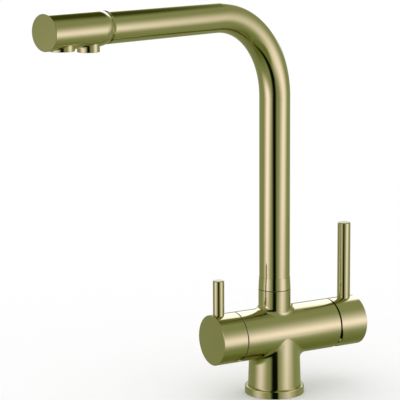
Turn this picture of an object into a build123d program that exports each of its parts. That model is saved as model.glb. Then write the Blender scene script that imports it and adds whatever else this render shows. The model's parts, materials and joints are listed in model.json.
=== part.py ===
from build123d import *

import os
from math import cos, radians, sin

# Three-way kitchen mixer tap: a swivelling L-shaped spout with two outlets, a mixer lever
# on the right end of the barrel and a filtered-water lever on its left end.
# Millimetres, +Z up. The origin is the centre of the foot on the worktop.
# The barrel lies along X with the mixer lever at +X, and the user stands at -Y.

# Foot and stem
RING_RADIUS = 27.3
RING_HEIGHT = 7.0
RING_LEDGE = 3.0
RING_OPENING = 19.5
RING_EDGE = 0.9
GASKET_OUTER = 23.6
GASKET_INNER = 21.0
GASKET_HEIGHT = 1.8
STEM_FOOT_RADIUS = 24.4
STEM_TOP_RADIUS = 22.8
STEM_BLEND = 6.5

# Barrel and neck
BARREL_RADIUS = 23.0
BARREL_HEIGHT = 57.4
BARREL_LEFT = -42.0
BARREL_RIGHT = 59.4
BARREL_EDGE = 0.8
NECK_RADIUS = 14.75
NECK_TOP = 97.5
NECK_BLEND = 5.0
NECK_FLOOR = 72.5

# Spout
TUBE_RADIUS = 14.0
TUBE_WALL = 2.5
ARM_HEIGHT = 351.8
BEND_RADIUS = 76.4
REACH = 271.1
REST_SWING = 14.8
COLLAR_RADIUS = 14.7
COLLAR_TOP_RADIUS = 14.2
COLLAR_HEIGHT = 11.0
GLIDE_THICKNESS = 0.6
HEAD_RADIUS = 15.25
HEAD_LENGTH = 65.0
HEAD_SHOULDER = 10.5
HEAD_SHOULDER_DROP = 3.75
HEAD_EDGE = 0.2
HEAD_SPIGOT = 18.0
HEAD_CHAMBER = 9.0
HEAD_END_WALL = 3.8
BULKHEAD = 3.0
GROOVE = 0.6

# Outlets under the spout head
FILTER_OUTLET_RADIUS = 10.6
FILTER_OUTLET_DROP = 16.0
MIXER_OUTLET_RADIUS = 9.4
MIXER_OUTLET_DROP = 18.8
OUTLET_SETBACK = 18.5
OUTLET_SPACING = 28.5
OUTLET_SEAT = 8.5
OUTLET_WALL = 1.8
OUTLET_THROAT = 7.2
OUTLET_WASHER = 1.2
OUTLET_RECESS = 0.6
JET_RADIUS = 1.4
JET_COUNT = 6
JET_CIRCLE = 4.8

# Pivot of the spout inside the neck
PIVOT_RADIUS = 11.3
PIVOT_BORE = 7.8
PIVOT_FLANGE = 1.8
PIVOT_SPIGOT = 22.0
PIVOT_FLOOR_GAP = 0.8
SEAL_SECTION = 1.1
SEAL_SIDES = 8
SEAL_HEIGHTS = (78.0, 84.5)
RETAINER_HEIGHT = 91.5
RETAINER_RADIUS = 2.4
RETAINER_GROOVE = 1.6

# Inner pipe for filtered water
PIPE_RADIUS = 3.0
PIPE_WALL = 1.0
PIPE_FOOT = 68.4
PIPE_SEAL_SECTION = 0.8

# Water ways in the casting
PORT_RADIUS = 4.5
PORT_DEPTH = 12.0
STUD_RADIUS = 3.4
STUD_DEPTH = 14.0
INLET_X = 8.0
INLET_SPREAD = 9.5
INLET_DROP = 4.0
INLET_WAY = 3.5
OUTFLOW_RISE = 9.0
OUTFLOW_WAY = 3.0
FILTER_INLET_X = -13.0
FILTER_INLET_WAY = 3.0
FILTER_OUTFLOW_X = -27.0
FILTER_OUTFLOW_RISE = 10.5
FILTER_OUTFLOW_WAY = 2.2

# Filtered-water valve in the left end of the barrel
VALVE_RADIUS = 9.0
VALVE_DEPTH = 24.0
VALVE_HEX = 22.0
VALVE_FLANGE = 4.0
VALVE_WASHER = 0.8
VALVE_WASHER_RADIUS = 12.0
VALVE_CHAMBER = 7.2
VALVE_DISC_RADIUS = 6.8
VALVE_DISC = 3.6
VALVE_SEAT = 4.5
VALVE_SEAT_BORE = 3.6
VALVE_PORT = 1.7
VALVE_PORT_OFFSET = 3.8
VALVE_WINDOW = 4.0
VALVE_SPINDLE_RADIUS = 4.0
VALVE_SPINDLE_FLANGE = 2.8
VALVE_SPINDLE_GRIP = 12.0
VALVE_SEAL_SECTION = 0.9
VALVE_SEAL_SETBACK = 5.0

# Filtered-water handle
FILTER_CAP_LENGTH = 24.8
FILTER_SPLIT = 0.6
FILTER_CAP_CAVITY = 7.4
FILTER_ROD_RADIUS = 5.15
FILTER_ROD_TOP = 112.2
FILTER_ROD_SETBACK = 7.6
FILTER_ROD_SEAT = 1.7
FILTER_STUD_RADIUS = 3.0
FILTER_STUD_LENGTH = 9.0
FILTER_SCREW_RADIUS = 2.0
FILTER_SCREW_LENGTH = 8.0
FILTER_SCREW_SETBACK = 11.0

# Mixer cartridge in the right end of the barrel
CHAMBER_RADIUS = 18.0
CHAMBER_DEPTH = 37.4
CARTRIDGE_RADIUS = 17.4
CARTRIDGE_WALL = 1.8
CARTRIDGE_LENGTH = 19.0
CARTRIDGE_TOP = 2.6
CARTRIDGE_NECK = 9.0
CARTRIDGE_NECK_RADIUS = 14.0
BASE_THICKNESS = 4.7
BASE_LIFT = 0.3
BASE_PORT = 3.5
BASE_SEAL_SECTION = 0.85
BASE_SEAL_RECESS = 1.4
FIXED_DISC_RADIUS = 15.2
FIXED_DISC = 4.0
FIXED_DISC_PORT = 2.8
MOVING_DISC_RADIUS = 12.0
MOVING_DISC = 3.9
MIXING_POCKET = 2.0
MIXING_POCKET_RADIUS = 8.5
CARRIER_RADIUS = 11.0
CARRIER = 4.0
CARRIER_FLOOR = 0.6
TURRET_RADIUS = 12.0
TURRET_FLANGE = 3.8
TURRET_LENGTH = 16.6
NUT_BORE = 14.3
NUT_THREAD = 6.0
NUT_HEX = 30.0
NUT_HEX_LENGTH = 5.0

# Mixer lever mechanism
TILT = 22.0
TILT_X = 48.0
BALL_RADIUS = 2.2
BALL_ARM = 10.1
SPINDLE_NECK = 1.8
SPINDLE_RADIUS = 4.0
SPINDLE_HUB = 8.0
SPINDLE_SQUARE = 8.0
SPINDLE_GRIP = 11.5
PIN_RADIUS = 1.5
PIN_LENGTH = 20.0

# Mixer handle
MIXER_CAP_LENGTH = 27.2
MIXER_SPLIT = 1.8
MIXER_CAP_WALL = 2.0
MIXER_CAP_CAVITY = 9.0
MIXER_RELIEF = 4.8
MIXER_ROD_RADIUS = 6.0
MIXER_ROD_TOP = 151.7
MIXER_ROD_SETBACK = 11.6
MIXER_ROD_SEAT = 2.2
MIXER_STUD_RADIUS = 4.0
MIXER_STUD_LENGTH = 10.0
MIXER_SCREW_RADIUS = 2.5
MIXER_SCREW_LENGTH = 9.0
CAP_EDGE = 0.5
ROD_EDGE = 0.7

# Clearances
SEATED = 0.05
RUNNING = 0.06
FREE = 0.3

# Places worked out from the sizes above
foot_plane = Plane(origin=(0, 0, 0), x_dir=(0, 0, 1), z_dir=(0, 1, 0))
barrel_plane = Plane(origin=(0, 0, BARREL_HEIGHT), x_dir=(1, 0, 0), z_dir=(0, -1, 0))
swing = radians(REST_SWING)
arm_plane = Plane(
    origin=(0, 0, ARM_HEIGHT),
    x_dir=(-cos(swing), -sin(swing), 0),
    z_dir=(-sin(swing), cos(swing), 0),
)
tube_bore = TUBE_RADIUS - TUBE_WALL
collar_foot = NECK_TOP + GLIDE_THICKNESS + SEATED
tube_foot = collar_foot + PIVOT_FLANGE
head_rear = REACH - HEAD_LENGTH
tube_end = head_rear - GROOVE
outlets = {
    "filter": (REACH - OUTLET_SETBACK, FILTER_OUTLET_DROP, FILTER_OUTLET_RADIUS),
    "mixer": (REACH - OUTLET_SETBACK - OUTLET_SPACING, MIXER_OUTLET_DROP, MIXER_OUTLET_RADIUS),
}
bulkhead_middle = REACH - OUTLET_SETBACK - OUTLET_SPACING / 2
crown = BARREL_HEIGHT + BARREL_RADIUS

valve_floor = BARREL_LEFT + VALVE_DEPTH
valve_face = BARREL_LEFT - VALVE_WASHER
valve_mouth = valve_face - VALVE_FLANGE
fixed_valve_disc = valve_floor - VALVE_SEAT - VALVE_DISC
moving_valve_disc = fixed_valve_disc - SEATED - VALVE_DISC
valve_shoulder = moving_valve_disc - VALVE_SPINDLE_FLANGE - SEATED
filter_cap_rim = BARREL_LEFT - FILTER_SPLIT
filter_cap_face = filter_cap_rim - FILTER_CAP_LENGTH
filter_cap_floor = filter_cap_rim - FILTER_CAP_CAVITY
filter_rod_x = filter_cap_face + FILTER_ROD_SETBACK
filter_screw_x = filter_cap_face + FILTER_SCREW_SETBACK

chamber_floor = BARREL_RIGHT - CHAMBER_DEPTH
base_back = chamber_floor + BASE_LIFT
base_front = base_back + BASE_THICKNESS
moving_disc_back = base_front + FIXED_DISC + SEATED
carrier_back = moving_disc_back + MOVING_DISC
cartridge_front = base_front + CARTRIDGE_LENGTH
cartridge_bore = CARTRIDGE_RADIUS - CARTRIDGE_WALL
turret_top = cartridge_front - CARTRIDGE_TOP - SEATED
turret_back = turret_top - TURRET_FLANGE
ball_x = TILT_X - BALL_ARM
disc_travel = BALL_ARM * radians(TILT)
mixer_cap_rim = BARREL_RIGHT + MIXER_SPLIT
mixer_cap_face = mixer_cap_rim + MIXER_CAP_LENGTH
mixer_cap_floor = mixer_cap_rim + MIXER_CAP_CAVITY
mixer_cap_bore = BARREL_RADIUS - MIXER_CAP_WALL
mixer_rod_x = mixer_cap_face - MIXER_ROD_SETBACK
base_ports = (
    (INLET_SPREAD, -INLET_DROP),
    (-INLET_SPREAD, -INLET_DROP),
    (0, OUTFLOW_RISE),
)


def lathe(plane, outline, mode=Mode.ADD):
    """Turn a closed outline of (station, radius) points about the plane's X axis."""
    with BuildSketch(plane) as profile:
        with BuildLine():
            Polyline(*outline, close=True)
        make_face()
    revolve(profile.sketch, axis=Axis(plane.origin, plane.x_dir), mode=mode)


def sleeve(plane, start, end, inner, outer, mode=Mode.ADD):
    """Turn a plain ring, or a solid rod where the inner radius is zero."""
    lathe(plane, ((start, inner), (start, outer), (end, outer), (end, inner)), mode)


def o_ring(plane, station, outer, section):
    """Turn a sealing ring, squeezed flat where it meets its groove and its bore."""
    with BuildSketch(plane) as profile:
        with Locations((station, outer - section)):
            RegularPolygon(section, SEAL_SIDES, major_radius=False, rotation=180 / SEAL_SIDES)
    revolve(profile.sketch, axis=Axis(plane.origin, plane.x_dir))


def parallel(plane, x=0, y=0, z=0):
    """Return the plane moved sideways, for a bore beside the main axis."""
    return Plane(plane.origin + Vector(x, y, z), x_dir=plane.x_dir, z_dir=plane.z_dir)


def crossing_curves(piece):
    """Return the curves along which round forms of the piece cross."""
    return piece.edges().filter_by(lambda edge: edge.geom_type not in (GeomType.CIRCLE, GeomType.LINE))


def save(piece, label):
    """Label a finished piece and write it to its own file."""
    piece.part.label = label
    export_step(piece.part, f"parts/{label}.step")


os.makedirs("parts", exist_ok=True)

# Foot ring, with a ledge under the stem and a groove for the gasket
with BuildPart() as base_ring:
    lathe(
        foot_plane,
        (
            (0, RING_OPENING),
            (0, RING_RADIUS),
            (RING_HEIGHT, RING_RADIUS),
            (RING_HEIGHT, STEM_FOOT_RADIUS + SEATED),
            (RING_LEDGE, STEM_FOOT_RADIUS + SEATED),
            (RING_LEDGE, RING_OPENING),
        ),
    )
    top_rim = base_ring.edges().filter_by(GeomType.CIRCLE).group_by(Axis.Z)[-1].sort_by(SortBy.RADIUS)[-1]
    fillet(top_rim, RING_EDGE)
    sleeve(foot_plane, 0, GASKET_HEIGHT, GASKET_INNER, GASKET_OUTER, mode=Mode.SUBTRACT)
save(base_ring, "base_ring")

with BuildPart() as base_gasket:
    sleeve(foot_plane, 0, GASKET_HEIGHT, GASKET_INNER + SEATED, GASKET_OUTER - SEATED)
save(base_gasket, "base_gasket")

# Cross-shaped casting: tapered stem, barrel and neck, blended where they cross
with BuildPart() as body_casting:
    sleeve(barrel_plane, BARREL_LEFT, BARREL_RIGHT, 0, BARREL_RADIUS)
    sleeve(foot_plane, BARREL_HEIGHT, NECK_TOP, 0, NECK_RADIUS)
    fillet(crossing_curves(body_casting), NECK_BLEND)
    end_rims = body_casting.edges().filter_by(GeomType.CIRCLE).filter_by(
        lambda edge: abs(edge.radius - BARREL_RADIUS) < SEATED
    )
    chamfer(end_rims, BARREL_EDGE)
    lathe(
        foot_plane,
        (
            (0, 0),
            (0, RING_OPENING - SEATED),
            (RING_LEDGE, RING_OPENING - SEATED),
            (RING_LEDGE, STEM_FOOT_RADIUS),
            (RING_HEIGHT, STEM_FOOT_RADIUS),
            (BARREL_HEIGHT, STEM_TOP_RADIUS),
            (BARREL_HEIGHT, 0),
        ),
    )
    stem_curves = crossing_curves(body_casting).filter_by(lambda edge: edge.center().Z < BARREL_HEIGHT)
    fillet(stem_curves, STEM_BLEND)
    # Chambers for the spout pivot, the mixer cartridge and the filter valve
    sleeve(foot_plane, NECK_FLOOR, NECK_TOP, 0, PIVOT_RADIUS + RUNNING, mode=Mode.SUBTRACT)
    sleeve(barrel_plane, chamber_floor, BARREL_RIGHT, 0, CHAMBER_RADIUS, mode=Mode.SUBTRACT)
    sleeve(barrel_plane, BARREL_LEFT, valve_floor, 0, VALVE_RADIUS, mode=Mode.SUBTRACT)
    # Hot and cold inlets rise through the stem and turn towards the cartridge
    for side in (1, -1):
        inlet = parallel(foot_plane, INLET_X, side * INLET_SPREAD)
        inlet_turn = BARREL_HEIGHT - INLET_DROP
        crossing = parallel(barrel_plane, 0, side * INLET_SPREAD, -INLET_DROP)
        sleeve(inlet, 0, PORT_DEPTH, 0, PORT_RADIUS, mode=Mode.SUBTRACT)
        sleeve(inlet, 0, inlet_turn, 0, INLET_WAY, mode=Mode.SUBTRACT)
        sleeve(crossing, INLET_X, chamber_floor, 0, INLET_WAY, mode=Mode.SUBTRACT)
    # Mixed water goes back from the cartridge and up into the neck
    mixed_rise = parallel(foot_plane, INLET_X)
    mixed_way = parallel(barrel_plane, 0, 0, OUTFLOW_RISE)
    sleeve(mixed_way, INLET_X, chamber_floor, 0, OUTFLOW_WAY, mode=Mode.SUBTRACT)
    sleeve(mixed_rise, BARREL_HEIGHT + OUTFLOW_RISE, NECK_FLOOR, 0, OUTFLOW_WAY, mode=Mode.SUBTRACT)
    # Filtered water has its own inlet, valve seat and way to the inner pipe
    filter_inlet = parallel(foot_plane, FILTER_INLET_X)
    filter_rise = parallel(foot_plane, FILTER_OUTFLOW_X)
    filter_way = parallel(barrel_plane, 0, 0, FILTER_OUTFLOW_RISE)
    filter_turn = BARREL_HEIGHT + FILTER_OUTFLOW_RISE
    sleeve(filter_inlet, 0, PORT_DEPTH, 0, PORT_RADIUS, mode=Mode.SUBTRACT)
    sleeve(filter_inlet, 0, BARREL_HEIGHT, 0, FILTER_INLET_WAY, mode=Mode.SUBTRACT)
    sleeve(barrel_plane, valve_floor, FILTER_INLET_X, 0, FILTER_INLET_WAY, mode=Mode.SUBTRACT)
    sleeve(filter_rise, BARREL_HEIGHT, filter_turn, 0, FILTER_OUTFLOW_WAY, mode=Mode.SUBTRACT)
    sleeve(filter_way, FILTER_OUTFLOW_X, 0, 0, FILTER_OUTFLOW_WAY, mode=Mode.SUBTRACT)
    sleeve(foot_plane, filter_turn, NECK_FLOOR, 0, PIPE_RADIUS + RUNNING, mode=Mode.SUBTRACT)
    sleeve(
        foot_plane,
        NECK_FLOOR - 2 * PIPE_SEAL_SECTION,
        NECK_FLOOR,
        0,
        PIPE_RADIUS + 2 * PIPE_SEAL_SECTION + 2 * SEATED,
        mode=Mode.SUBTRACT,
    )
    # Threaded hole for the fixing stud, and the retaining screw's hole behind the neck
    sleeve(foot_plane, 0, STUD_DEPTH, 0, STUD_RADIUS, mode=Mode.SUBTRACT)
    with BuildSketch(Plane.XZ.offset(-NECK_RADIUS)):
        with Locations((0, RETAINER_HEIGHT)):
            Circle(RETAINER_RADIUS + SEATED)
    extrude(amount=NECK_RADIUS - PIVOT_BORE, mode=Mode.SUBTRACT)
save(body_casting, "body_casting")

with BuildPart() as spout_retaining_screw:
    with BuildSketch(Plane.XZ.offset(-NECK_RADIUS + SEATED)):
        with Locations((0, RETAINER_HEIGHT)):
            Circle(RETAINER_RADIUS)
    extrude(amount=NECK_RADIUS - PIVOT_RADIUS + RETAINER_GROOVE - FREE - SEATED)
save(spout_retaining_screw, "spout_retaining_screw")

with BuildPart() as pipe_seal:
    o_ring(
        foot_plane,
        NECK_FLOOR - PIPE_SEAL_SECTION,
        PIPE_RADIUS + 2 * PIPE_SEAL_SECTION + SEATED,
        PIPE_SEAL_SECTION,
    )
save(pipe_seal, "filter_pipe_seal")

with BuildPart() as glide_washer:
    sleeve(foot_plane, NECK_TOP, NECK_TOP + GLIDE_THICKNESS, PIVOT_RADIUS + FREE, TUBE_RADIUS)
save(glide_washer, "spout_glide_washer")

# Spout: pivot, collar, bent tube, inner pipe and head
with BuildPart() as spout_pivot:
    lathe(
        foot_plane,
        (
            (NECK_FLOOR + PIVOT_FLOOR_GAP, PIVOT_BORE),
            (NECK_FLOOR + PIVOT_FLOOR_GAP, PIVOT_RADIUS),
            (collar_foot, PIVOT_RADIUS),
            (collar_foot, TUBE_RADIUS),
            (tube_foot, TUBE_RADIUS),
            (tube_foot, tube_bore - SEATED),
            (tube_foot + PIVOT_SPIGOT, tube_bore - SEATED),
            (tube_foot + PIVOT_SPIGOT, PIVOT_BORE),
        ),
    )
    groove_floor = PIVOT_RADIUS - 2 * SEAL_SECTION
    for height in SEAL_HEIGHTS:
        groove_start = height - SEAL_SECTION - SEATED
        groove_end = height + SEAL_SECTION + SEATED
        sleeve(foot_plane, groove_start, groove_end, groove_floor, NECK_RADIUS, mode=Mode.SUBTRACT)
    sleeve(
        foot_plane,
        RETAINER_HEIGHT - RETAINER_RADIUS - FREE,
        RETAINER_HEIGHT + RETAINER_RADIUS + FREE,
        PIVOT_RADIUS - RETAINER_GROOVE,
        NECK_RADIUS,
        mode=Mode.SUBTRACT,
    )
save(spout_pivot, "spout_pivot")

with BuildPart() as spout_seals:
    for height in SEAL_HEIGHTS:
        o_ring(foot_plane, height, PIVOT_RADIUS, SEAL_SECTION)
save(spout_seals, "spout_seals")

with BuildPart() as spout_collar:
    collar_top = collar_foot + COLLAR_HEIGHT
    lathe(
        foot_plane,
        (
            (collar_foot, TUBE_RADIUS + SEATED),
            (collar_foot, COLLAR_RADIUS),
            (collar_top, COLLAR_TOP_RADIUS),
            (collar_top, TUBE_RADIUS + SEATED),
        ),
    )
save(spout_collar, "spout_collar")

with BuildPart() as spout_tube:
    with BuildLine(arm_plane):
        FilletPolyline((0, tube_foot - ARM_HEIGHT), (0, 0), (tube_end, 0), radius=BEND_RADIUS)
    with BuildSketch(Plane.XY.offset(tube_foot)):
        Circle(TUBE_RADIUS)
        Circle(tube_bore, mode=Mode.SUBTRACT)
    sweep()
save(spout_tube, "spout_tube")

with BuildPart() as filter_pipe:
    with BuildLine(arm_plane):
        pipe_end = bulkhead_middle
        FilletPolyline((0, PIPE_FOOT - ARM_HEIGHT), (0, 0), (pipe_end, 0), radius=BEND_RADIUS)
    with BuildSketch(Plane.XY.offset(PIPE_FOOT)):
        Circle(PIPE_RADIUS)
        Circle(PIPE_RADIUS - PIPE_WALL, mode=Mode.SUBTRACT)
    sweep()
save(filter_pipe, "filter_pipe")

# Head: spigot in the tube, rounded rear shoulder and two chambers with their outlet seats
with BuildPart() as spout_head:
    shoulder_foot = HEAD_RADIUS - HEAD_SHOULDER_DROP
    shoulder_end = head_rear + HEAD_SHOULDER
    spigot_start = tube_end - HEAD_SPIGOT
    with BuildSketch(arm_plane) as head_profile:
        with BuildLine():
            Polyline(
                (head_rear, shoulder_foot),
                (tube_end, shoulder_foot),
                (tube_end, tube_bore - SEATED),
                (spigot_start, tube_bore - SEATED),
                (spigot_start, 0),
                (REACH, 0),
                (REACH, HEAD_RADIUS - HEAD_EDGE),
                (REACH - HEAD_EDGE, HEAD_RADIUS),
                (shoulder_end, HEAD_RADIUS),
            )
            EllipticalCenterArc(
                (shoulder_end, shoulder_foot), HEAD_SHOULDER, HEAD_SHOULDER_DROP, 90, arc_size=90
            )
        make_face()
    revolve(head_profile.sketch, axis=Axis(arm_plane.origin, arm_plane.x_dir))
    rear_wall = bulkhead_middle - BULKHEAD / 2
    front_wall = bulkhead_middle + BULKHEAD / 2
    sleeve(arm_plane, spigot_start, rear_wall, 0, HEAD_CHAMBER, mode=Mode.SUBTRACT)
    sleeve(arm_plane, front_wall, REACH - HEAD_END_WALL, 0, HEAD_CHAMBER, mode=Mode.SUBTRACT)
    sleeve(arm_plane, rear_wall, front_wall, 0, PIPE_RADIUS + SEATED, mode=Mode.SUBTRACT)
    for station, drop, outlet_radius in outlets.values():
        down = parallel(foot_plane, *tuple(arm_plane.x_dir * station))
        seat = ARM_HEIGHT - OUTLET_SEAT
        sleeve(down, ARM_HEIGHT - drop, seat, 0, outlet_radius + SEATED, mode=Mode.SUBTRACT)
        sleeve(down, seat, ARM_HEIGHT, 0, OUTLET_THROAT, mode=Mode.SUBTRACT)
save(spout_head, "spout_head")

# One threaded outlet ring, jet insert and washer under each chamber
for name, (station, drop, outlet_radius) in outlets.items():
    down = parallel(foot_plane, *tuple(arm_plane.x_dir * station))
    outlet_foot = ARM_HEIGHT - drop
    outlet_top = ARM_HEIGHT - OUTLET_SEAT - OUTLET_WASHER
    insert_radius = outlet_radius - OUTLET_WALL - SEATED
    insert_foot = outlet_foot + OUTLET_RECESS
    with BuildPart() as outlet_ring:
        sleeve(down, outlet_foot, outlet_top, outlet_radius - OUTLET_WALL, outlet_radius)
        chamfer(outlet_ring.edges().group_by(Axis.Z)[0], HEAD_EDGE)
    save(outlet_ring, f"{name}_outlet_ring")

    with BuildPart() as outlet_insert:
        sleeve(down, insert_foot, outlet_top, 0, insert_radius)
        with BuildSketch(Plane((down.origin.X, down.origin.Y, insert_foot))):
            Circle(JET_RADIUS)
            with PolarLocations(JET_CIRCLE, JET_COUNT):
                Circle(JET_RADIUS)
        extrude(amount=outlet_top - insert_foot, mode=Mode.SUBTRACT)
    save(outlet_insert, f"{name}_outlet_insert")

    with BuildPart() as outlet_washer:
        sleeve(down, outlet_top, ARM_HEIGHT - OUTLET_SEAT, OUTLET_THROAT, outlet_radius)
    save(outlet_washer, f"{name}_outlet_washer")

# Filter valve: a quarter-turn ceramic headwork screwed into the left end
with BuildPart() as valve_washer:
    sleeve(barrel_plane, valve_face, BARREL_LEFT, VALVE_RADIUS + FREE, VALVE_WASHER_RADIUS)
save(valve_washer, "filter_valve_washer")

with BuildPart() as valve_housing:
    with BuildSketch(Plane.YZ.offset(valve_mouth)):
        with Locations((0, BARREL_HEIGHT)):
            RegularPolygon(VALVE_HEX / 2, 6, major_radius=False)
    extrude(amount=VALVE_FLANGE)
    housing_end = valve_floor - FREE
    sleeve(barrel_plane, valve_face, housing_end, 0, VALVE_RADIUS - SEATED)
    sleeve(
        barrel_plane,
        valve_mouth,
        valve_shoulder,
        0,
        VALVE_SPINDLE_RADIUS + RUNNING,
        mode=Mode.SUBTRACT,
    )
    sleeve(barrel_plane, valve_shoulder, housing_end, 0, VALVE_CHAMBER, mode=Mode.SUBTRACT)
    window_foot = Plane.XY.offset(BARREL_HEIGHT - VALVE_RADIUS)
    with BuildSketch(window_foot):
        with Locations((FILTER_OUTFLOW_X, 0)):
            Rectangle(VALVE_WINDOW, VALVE_WINDOW)
    extrude(amount=2 * VALVE_RADIUS, mode=Mode.SUBTRACT)
save(valve_housing, "filter_valve_housing")

with BuildPart() as valve_seat:
    sleeve(barrel_plane, valve_floor - VALVE_SEAT, valve_floor, VALVE_SEAT_BORE, VALVE_DISC_RADIUS)
save(valve_seat, "filter_valve_seat")

# The turning disc's ports lie a quarter turn away from the fixed ones while the valve is shut
for label, back, port_angle in (
    ("filter_fixed_disc", fixed_valve_disc, 90),
    ("filter_moving_disc", moving_valve_disc, 0),
):
    with BuildPart() as valve_disc:
        with BuildSketch(Plane.YZ.offset(back)):
            with Locations((0, BARREL_HEIGHT)):
                Circle(VALVE_DISC_RADIUS)
                with PolarLocations(VALVE_PORT_OFFSET, 2, start_angle=port_angle):
                    Circle(VALVE_PORT, mode=Mode.SUBTRACT)
        extrude(amount=VALVE_DISC)
    save(valve_disc, label)

with BuildPart() as filter_spindle:
    spindle_end = filter_cap_floor - VALVE_SPINDLE_GRIP
    sleeve(barrel_plane, spindle_end, valve_shoulder, 0, VALVE_SPINDLE_RADIUS)
    sleeve(barrel_plane, valve_shoulder + SEATED, moving_valve_disc, 0, VALVE_DISC_RADIUS)
    sleeve(barrel_plane, valve_shoulder, moving_valve_disc, 0, VALVE_SPINDLE_RADIUS)
    seal_x = valve_shoulder - VALVE_SEAL_SETBACK
    sleeve(
        barrel_plane,
        seal_x - VALVE_SEAL_SECTION - SEATED,
        seal_x + VALVE_SEAL_SECTION + SEATED,
        VALVE_SPINDLE_RADIUS - 2 * VALVE_SEAL_SECTION,
        VALVE_DISC_RADIUS,
        mode=Mode.SUBTRACT,
    )
save(filter_spindle, "filter_spindle")

with BuildPart() as spindle_seal:
    o_ring(barrel_plane, seal_x, VALVE_SPINDLE_RADIUS, VALVE_SEAL_SECTION)
save(spindle_seal, "filter_spindle_seal")

# Filtered-water handle: a cup-shaped cap with a rod screwed into its crown
with BuildPart() as filter_cap:
    lathe(
        barrel_plane,
        (
            (filter_cap_face, 0),
            (filter_cap_face, BARREL_RADIUS - CAP_EDGE),
            (filter_cap_face + CAP_EDGE, BARREL_RADIUS),
            (filter_cap_rim, BARREL_RADIUS),
            (filter_cap_rim, BARREL_RADIUS - MIXER_CAP_WALL),
            (filter_cap_floor, BARREL_RADIUS - MIXER_CAP_WALL),
            (filter_cap_floor, 0),
        ),
    )
    sleeve(
        barrel_plane,
        filter_cap_floor - VALVE_SPINDLE_GRIP - FREE,
        filter_cap_floor,
        0,
        VALVE_SPINDLE_RADIUS + SEATED,
        mode=Mode.SUBTRACT,
    )
    rod_axis = parallel(foot_plane, filter_rod_x)
    screw_axis = parallel(foot_plane, filter_screw_x)
    rod_seat = crown - FILTER_ROD_SEAT
    stud_hole = rod_seat - FILTER_STUD_LENGTH - FREE
    sleeve(rod_axis, rod_seat, crown, 0, FILTER_ROD_RADIUS + SEATED, mode=Mode.SUBTRACT)
    sleeve(rod_axis, stud_hole, rod_seat, 0, FILTER_STUD_RADIUS + SEATED, mode=Mode.SUBTRACT)
    sleeve(
        screw_axis,
        BARREL_HEIGHT - BARREL_RADIUS,
        BARREL_HEIGHT,
        0,
        FILTER_SCREW_RADIUS + SEATED,
        mode=Mode.SUBTRACT,
    )
save(filter_cap, "filter_handle_cap")

with BuildPart() as filter_rod:
    lathe(
        rod_axis,
        (
            (rod_seat - FILTER_STUD_LENGTH, 0),
            (rod_seat - FILTER_STUD_LENGTH, FILTER_STUD_RADIUS),
            (rod_seat, FILTER_STUD_RADIUS),
            (rod_seat, FILTER_ROD_RADIUS),
            (FILTER_ROD_TOP - ROD_EDGE, FILTER_ROD_RADIUS),
            (FILTER_ROD_TOP, FILTER_ROD_RADIUS - ROD_EDGE),
            (FILTER_ROD_TOP, 0),
        ),
    )
save(filter_rod, "filter_lever_rod")

with BuildPart() as filter_screw:
    screw_tip = BARREL_HEIGHT - VALVE_SPINDLE_RADIUS - SEATED
    sleeve(screw_axis, screw_tip - FILTER_SCREW_LENGTH, screw_tip, 0, FILTER_SCREW_RADIUS)
save(filter_screw, "filter_cap_screw")

# Mixer cartridge: base with square-section seals, fixed disc, cup-shaped housing and clamping nut
with BuildPart() as cartridge_base:
    sleeve(barrel_plane, base_back, base_front, 0, CARTRIDGE_RADIUS)
    recess_radius = BASE_PORT + 2 * BASE_SEAL_SECTION + 2 * SEATED
    for across, up in base_ports:
        port = parallel(barrel_plane, 0, across, up)
        sleeve(port, base_back, base_front, 0, BASE_PORT, mode=Mode.SUBTRACT)
        sleeve(port, base_back, base_back + BASE_SEAL_RECESS, 0, recess_radius, mode=Mode.SUBTRACT)
save(cartridge_base, "cartridge_base")

with BuildPart() as cartridge_seals:
    for across, up in base_ports:
        port = parallel(barrel_plane, 0, across, up)
        seal_front = chamber_floor + 2 * BASE_SEAL_SECTION
        sleeve(port, chamber_floor, seal_front, BASE_PORT + SEATED, recess_radius - SEATED)
save(cartridge_seals, "cartridge_seals")

with BuildPart() as fixed_disc:
    sleeve(barrel_plane, base_front, base_front + FIXED_DISC, 0, FIXED_DISC_RADIUS)
    for across, up in base_ports:
        port = parallel(barrel_plane, 0, across, up)
        sleeve(port, base_front, base_front + FIXED_DISC, 0, FIXED_DISC_PORT, mode=Mode.SUBTRACT)
save(fixed_disc, "mixer_fixed_disc")

with BuildPart() as cartridge_housing:
    neck_end = cartridge_front + CARTRIDGE_NECK
    inside_end = cartridge_front - CARTRIDGE_TOP
    lathe(
        barrel_plane,
        (
            (base_front, cartridge_bore),
            (base_front, CARTRIDGE_RADIUS),
            (cartridge_front, CARTRIDGE_RADIUS),
            (cartridge_front, CARTRIDGE_NECK_RADIUS),
            (neck_end, CARTRIDGE_NECK_RADIUS),
            (neck_end, TURRET_RADIUS + RUNNING),
            (inside_end, TURRET_RADIUS + RUNNING),
            (inside_end, cartridge_bore),
        ),
    )
save(cartridge_housing, "cartridge_housing")

with BuildPart() as cartridge_nut:
    thread_end = cartridge_front + NUT_THREAD
    sleeve(barrel_plane, cartridge_front, thread_end, NUT_BORE, CHAMBER_RADIUS - SEATED)
    with BuildSketch(Plane.YZ.offset(thread_end)):
        with Locations((0, BARREL_HEIGHT)):
            RegularPolygon(NUT_HEX / 2, 6, major_radius=False)
            Circle(NUT_BORE, mode=Mode.SUBTRACT)
    extrude(amount=NUT_HEX_LENGTH)
save(cartridge_nut, "cartridge_nut")

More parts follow.
